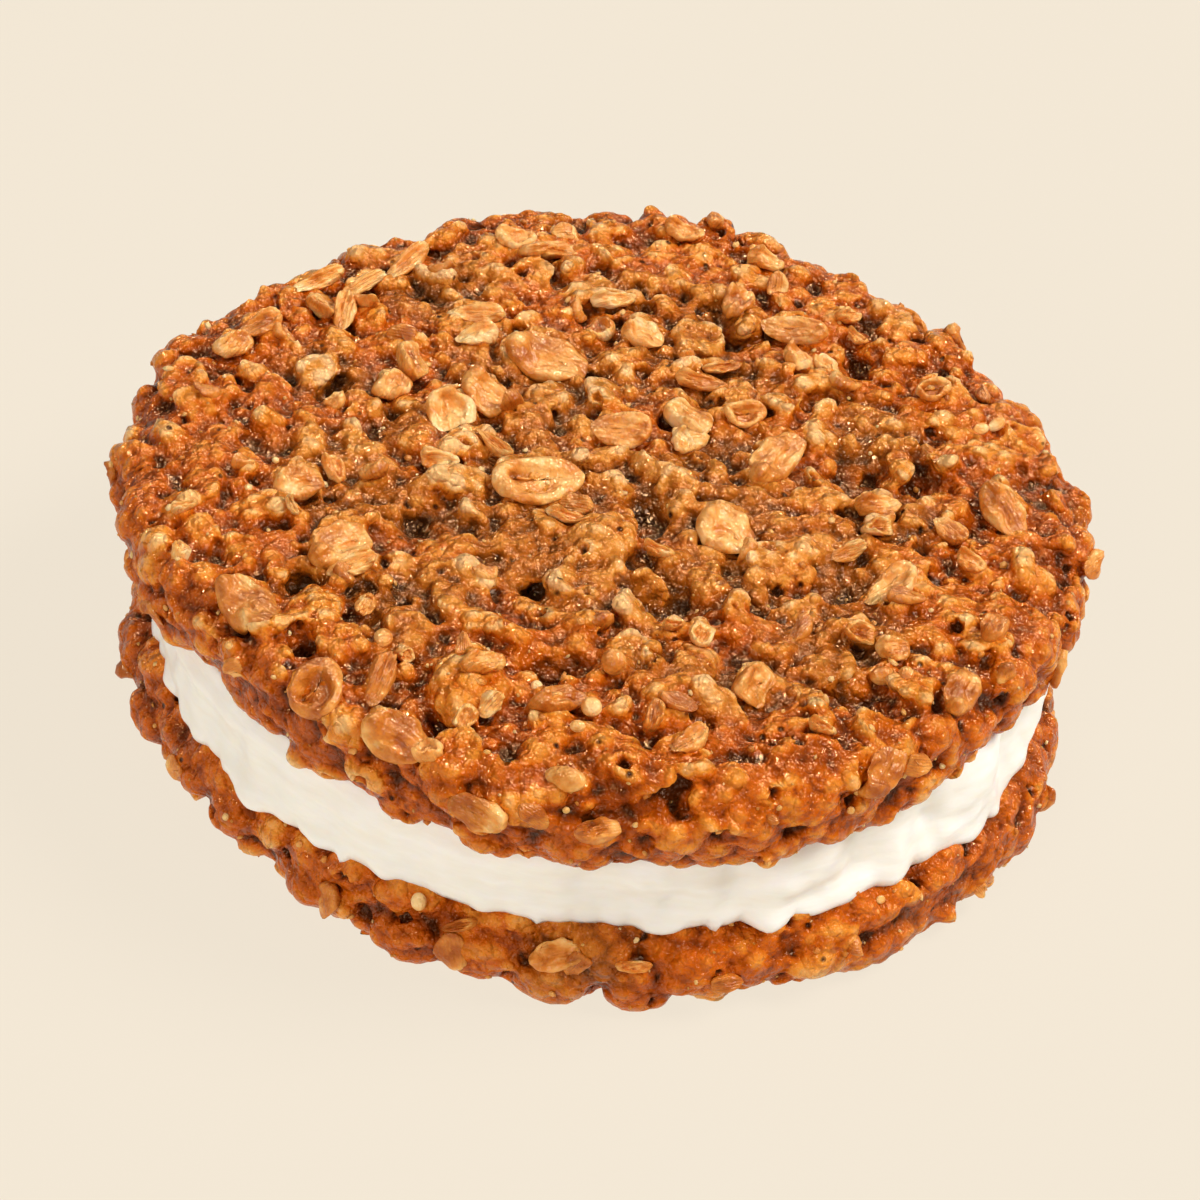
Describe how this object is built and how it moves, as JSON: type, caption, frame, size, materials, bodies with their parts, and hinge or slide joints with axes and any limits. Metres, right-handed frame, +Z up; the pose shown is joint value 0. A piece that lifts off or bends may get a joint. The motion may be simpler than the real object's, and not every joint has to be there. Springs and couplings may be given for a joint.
{
  "type": "oatmeal cream pie",
  "caption": "Round sandwich of two thick, lumpy baked oat cookies with a disc of soft white cream squeezed between them, lying flat.",
  "frame": {"origin": "on the table, under the middle of the pie", "axes": "+Z up through the thickness of the pie; the side seen at the front faces -Y, and +X is to its right"},
  "size_m": [0.0959, 0.0995, 0.0299],
  "materials": {
    "baked_oat_cookie": "baked oat dough, caramel brown with a syrupy sheen",
    "rolled_oats": "toasted rolled oat flakes and crumbs, pale and dry",
    "white_cream": "soft whipped cream, smooth and satin"
  },
  "bodies": {
    "root": {"bottom_cookie": "baked_oat_cookie", "cream_filling": "white_cream", "top_cookie": "baked_oat_cookie"}
  },
  "joints": []
}
